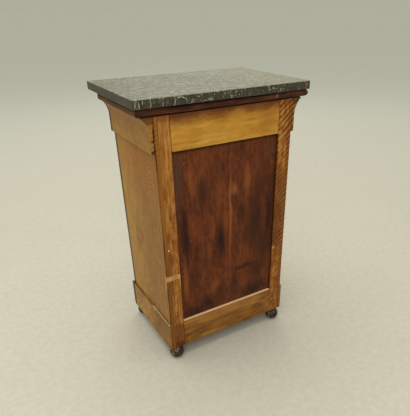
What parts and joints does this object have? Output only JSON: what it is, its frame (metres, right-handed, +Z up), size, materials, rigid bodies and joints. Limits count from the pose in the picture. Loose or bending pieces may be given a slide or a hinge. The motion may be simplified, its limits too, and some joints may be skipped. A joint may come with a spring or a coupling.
{
  "type": "bedside pot cupboard",
  "caption": "Narrow bedside cupboard with a marble top over flared sides, a frieze drawer, a hinged door with lock and key, a panelled back and turned feet.",
  "frame": {"origin": "on the floor under the middle of the marble slab", "axes": "+Z up; the door and drawer face -Y, the panelled back faces +Y; +X is to the right seen from the front"},
  "size_m": [0.492, 0.33, 0.762],
  "materials": {
    "marble": "polished dark grey marble with pale fossil specks and veins",
    "moulding_mahogany": "worn dark red-brown mahogany, polished",
    "side_wood": "golden brown polished wood, faded",
    "stile_wood": "orange-brown wood with ribbon figure, waxed",
    "rail_wood": "golden yellow-brown wood, waxed",
    "back_board_wood": "dark red-brown mahogany boards, uneven old stain",
    "front_mahogany": "polished mahogany veneer",
    "inside_wood": "plain unpolished softwood",
    "drawer_wood": "plain unpolished oak",
    "foot_wood": "dark turned wood, worn",
    "brass": "aged brass",
    "steel": "dull steel"
  },
  "bodies": {
    "carcass": {"marble_top": "marble", "top_moulding_back": "moulding_mahogany", "top_moulding_left": "moulding_mahogany", "top_moulding_right": "moulding_mahogany", "top_moulding_front": "moulding_mahogany", "side_frieze_left": "side_wood", "side_frieze_right": "side_wood", "side_panel_left": "side_wood", "side_panel_right": "side_wood", "side_plinth_left": "side_wood", "side_plinth_right": "side_wood", "back_stile_left": "stile_wood", "back_stile_right": "stile_wood", "back_top_rail": "rail_wood", "back_bottom_rail": "rail_wood", "back_board_left": "back_board_wood", "back_board_right": "back_board_wood", "front_plinth": "front_mahogany", "front_stile_left": "front_mahogany", "front_stile_right": "front_mahogany", "front_top_rail": "front_mahogany", "drawer_divider_rail": "front_mahogany", "front_bottom_rail": "front_mahogany", "cupboard_floor": "inside_wood", "floor_bearer_left": "inside_wood", "floor_bearer_right": "inside_wood", "shelf": "inside_wood", "shelf_cleat_left": "inside_wood", "shelf_cleat_right": "inside_wood", "dust_board": "inside_wood", "drawer_runner_left": "inside_wood", "drawer_runner_right": "inside_wood", "drawer_guides": "inside_wood", "drawer_kickers": "inside_wood", "door_stop_strip": "inside_wood", "foot_front_left": "foot_wood", "foot_front_right": "foot_wood", "foot_back_left": "foot_wood", "foot_back_right": "foot_wood", "hinge_frame_leaves": "brass", "hinge_pins": "brass", "hinge_frame_screws": "brass", "strike_plate": "brass"},
    "drawer": {"drawer_front": "front_mahogany", "drawer_side_left": "drawer_wood", "drawer_side_right": "drawer_wood", "drawer_back": "drawer_wood", "drawer_bottom": "drawer_wood"},
    "door": {"door_hinge_stile": "front_mahogany", "door_lock_stile": "front_mahogany", "door_top_rail": "front_mahogany", "door_bottom_rail": "front_mahogany", "door_panel": "front_mahogany", "door_panel_beads": "front_mahogany", "hinge_door_leaves": "brass", "hinge_door_screws": "brass", "lock_case": "steel", "escutcheon": "brass"},
    "key": {"key": "steel"},
    "bolt": {"lock_bolt": "steel"}
  },
  "joints": [
    {"name": "door_hinge", "type": "hinge", "parent": "carcass", "child": "door", "pos_m": [0.15825, -0.1314, 0.3735], "axis": [0, 0, 1], "range_deg": [0, 170]},
    {"name": "drawer_slide", "type": "slide", "parent": "carcass", "child": "drawer", "axis": [0, -1, 0], "range_m": [0, 0.19]},
    {"name": "key_turn", "type": "hinge", "parent": "door", "child": "key", "pos_m": [-0.134, -0.145, 0.3735], "axis": [0, -1, 0], "range_deg": [0, 180]},
    {"name": "bolt_slide", "type": "slide", "parent": "door", "child": "bolt", "axis": [-1, 0, 0], "range_m": [0, 0.008]}
  ],
  "couplings": [
    {"joint": "key_turn", "follows": "bolt_slide", "rad_per_m": 392.7}
  ]
}
